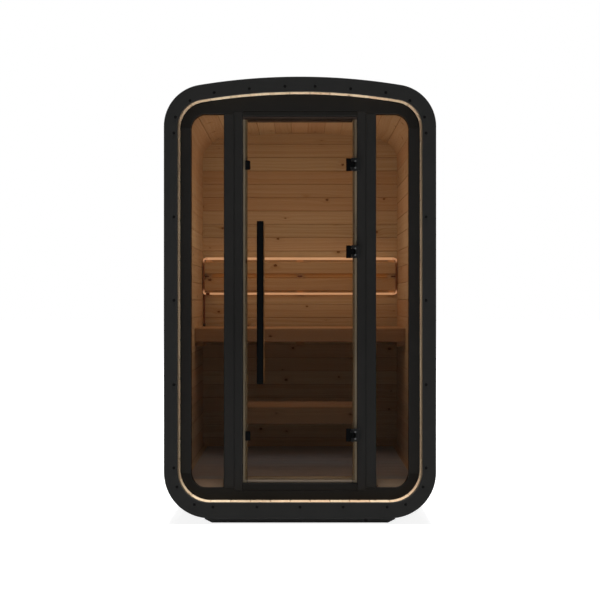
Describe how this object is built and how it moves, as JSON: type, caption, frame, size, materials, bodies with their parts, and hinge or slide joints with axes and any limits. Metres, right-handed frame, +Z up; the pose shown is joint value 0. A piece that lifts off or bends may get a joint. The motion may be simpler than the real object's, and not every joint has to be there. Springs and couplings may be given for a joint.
{
  "type": "cube sauna",
  "caption": "Small arched outdoor sauna cabin with a tinted glass front, a hung glass door, an inner bench with a backrest, and a step, on low feet.",
  "frame": {"origin": "middle of the cabin's footprint, on the ground under the feet", "axes": "+Z up, the glass front faces -Y, +X to the right as seen from the front"},
  "size_m": [1.28, 1.7, 2.1058],
  "materials": {
    "black_trim": "satin",
    "shell_wood": "matte",
    "black_cladding": "matte",
    "foot_wood": "matte",
    "floor_board": "matte",
    "black_paint": "satin",
    "tinted_glass": "polished",
    "stop_wood": "matte",
    "dark_metal": "satin",
    "black_metal": "satin",
    "grip_wood": "matte",
    "bench_wood": "matte",
    "warm_light": "matte",
    "dark_plastic": "matte"
  },
  "bodies": {
    "cabin": {"front_ring": "black_trim", "rear_ring": "black_trim", "lining_roof": "shell_wood", "lining_top_corners": "shell_wood", "lining_sides": "shell_wood", "lining_low_corners": "shell_wood", "lining_bottom": "shell_wood", "cladding_roof": "black_cladding", "cladding_top_corners": "black_cladding", "cladding_sides": "black_cladding", "cladding_low_corners": "black_cladding", "cladding_bottom": "black_cladding", "back_lining": "shell_wood", "back_cladding": "black_cladding", "feet": "foot_wood", "floor_joists": "shell_wood", "floor_deck": "floor_board", "front_header": "black_paint", "front_stiles": "black_paint", "front_posts": "black_paint", "front_rail": "black_paint", "side_windows": "tinted_glass", "door_jambs": "black_paint", "door_head_sill": "black_paint", "door_stop_sides": "stop_wood", "door_stop_ends": "stop_wood", "hinge_leaves": "dark_metal", "bench_bearers": "bench_wood", "bench_seat": "bench_wood", "bench_fascia": "bench_wood", "backrest_battens": "bench_wood", "backrest_boards": "bench_wood", "light_strips": "warm_light", "cable_tube": "dark_plastic", "step_legs": "bench_wood", "step_bearers": "bench_wood", "step_top": "bench_wood", "step_fascia": "bench_wood"},
    "door": {"door_glass": "tinted_glass", "hinge_clamps": "black_metal", "door_handle": "black_metal", "inner_handle": "grip_wood", "glass_clips": "black_metal"}
  },
  "joints": [
    {"name": "door_hinge", "type": "hinge", "parent": "cabin", "child": "door", "pos_m": [0.25, -0.769, 0.198], "axis": [0, 0, 1], "range_deg": [0, 110]}
  ]
}
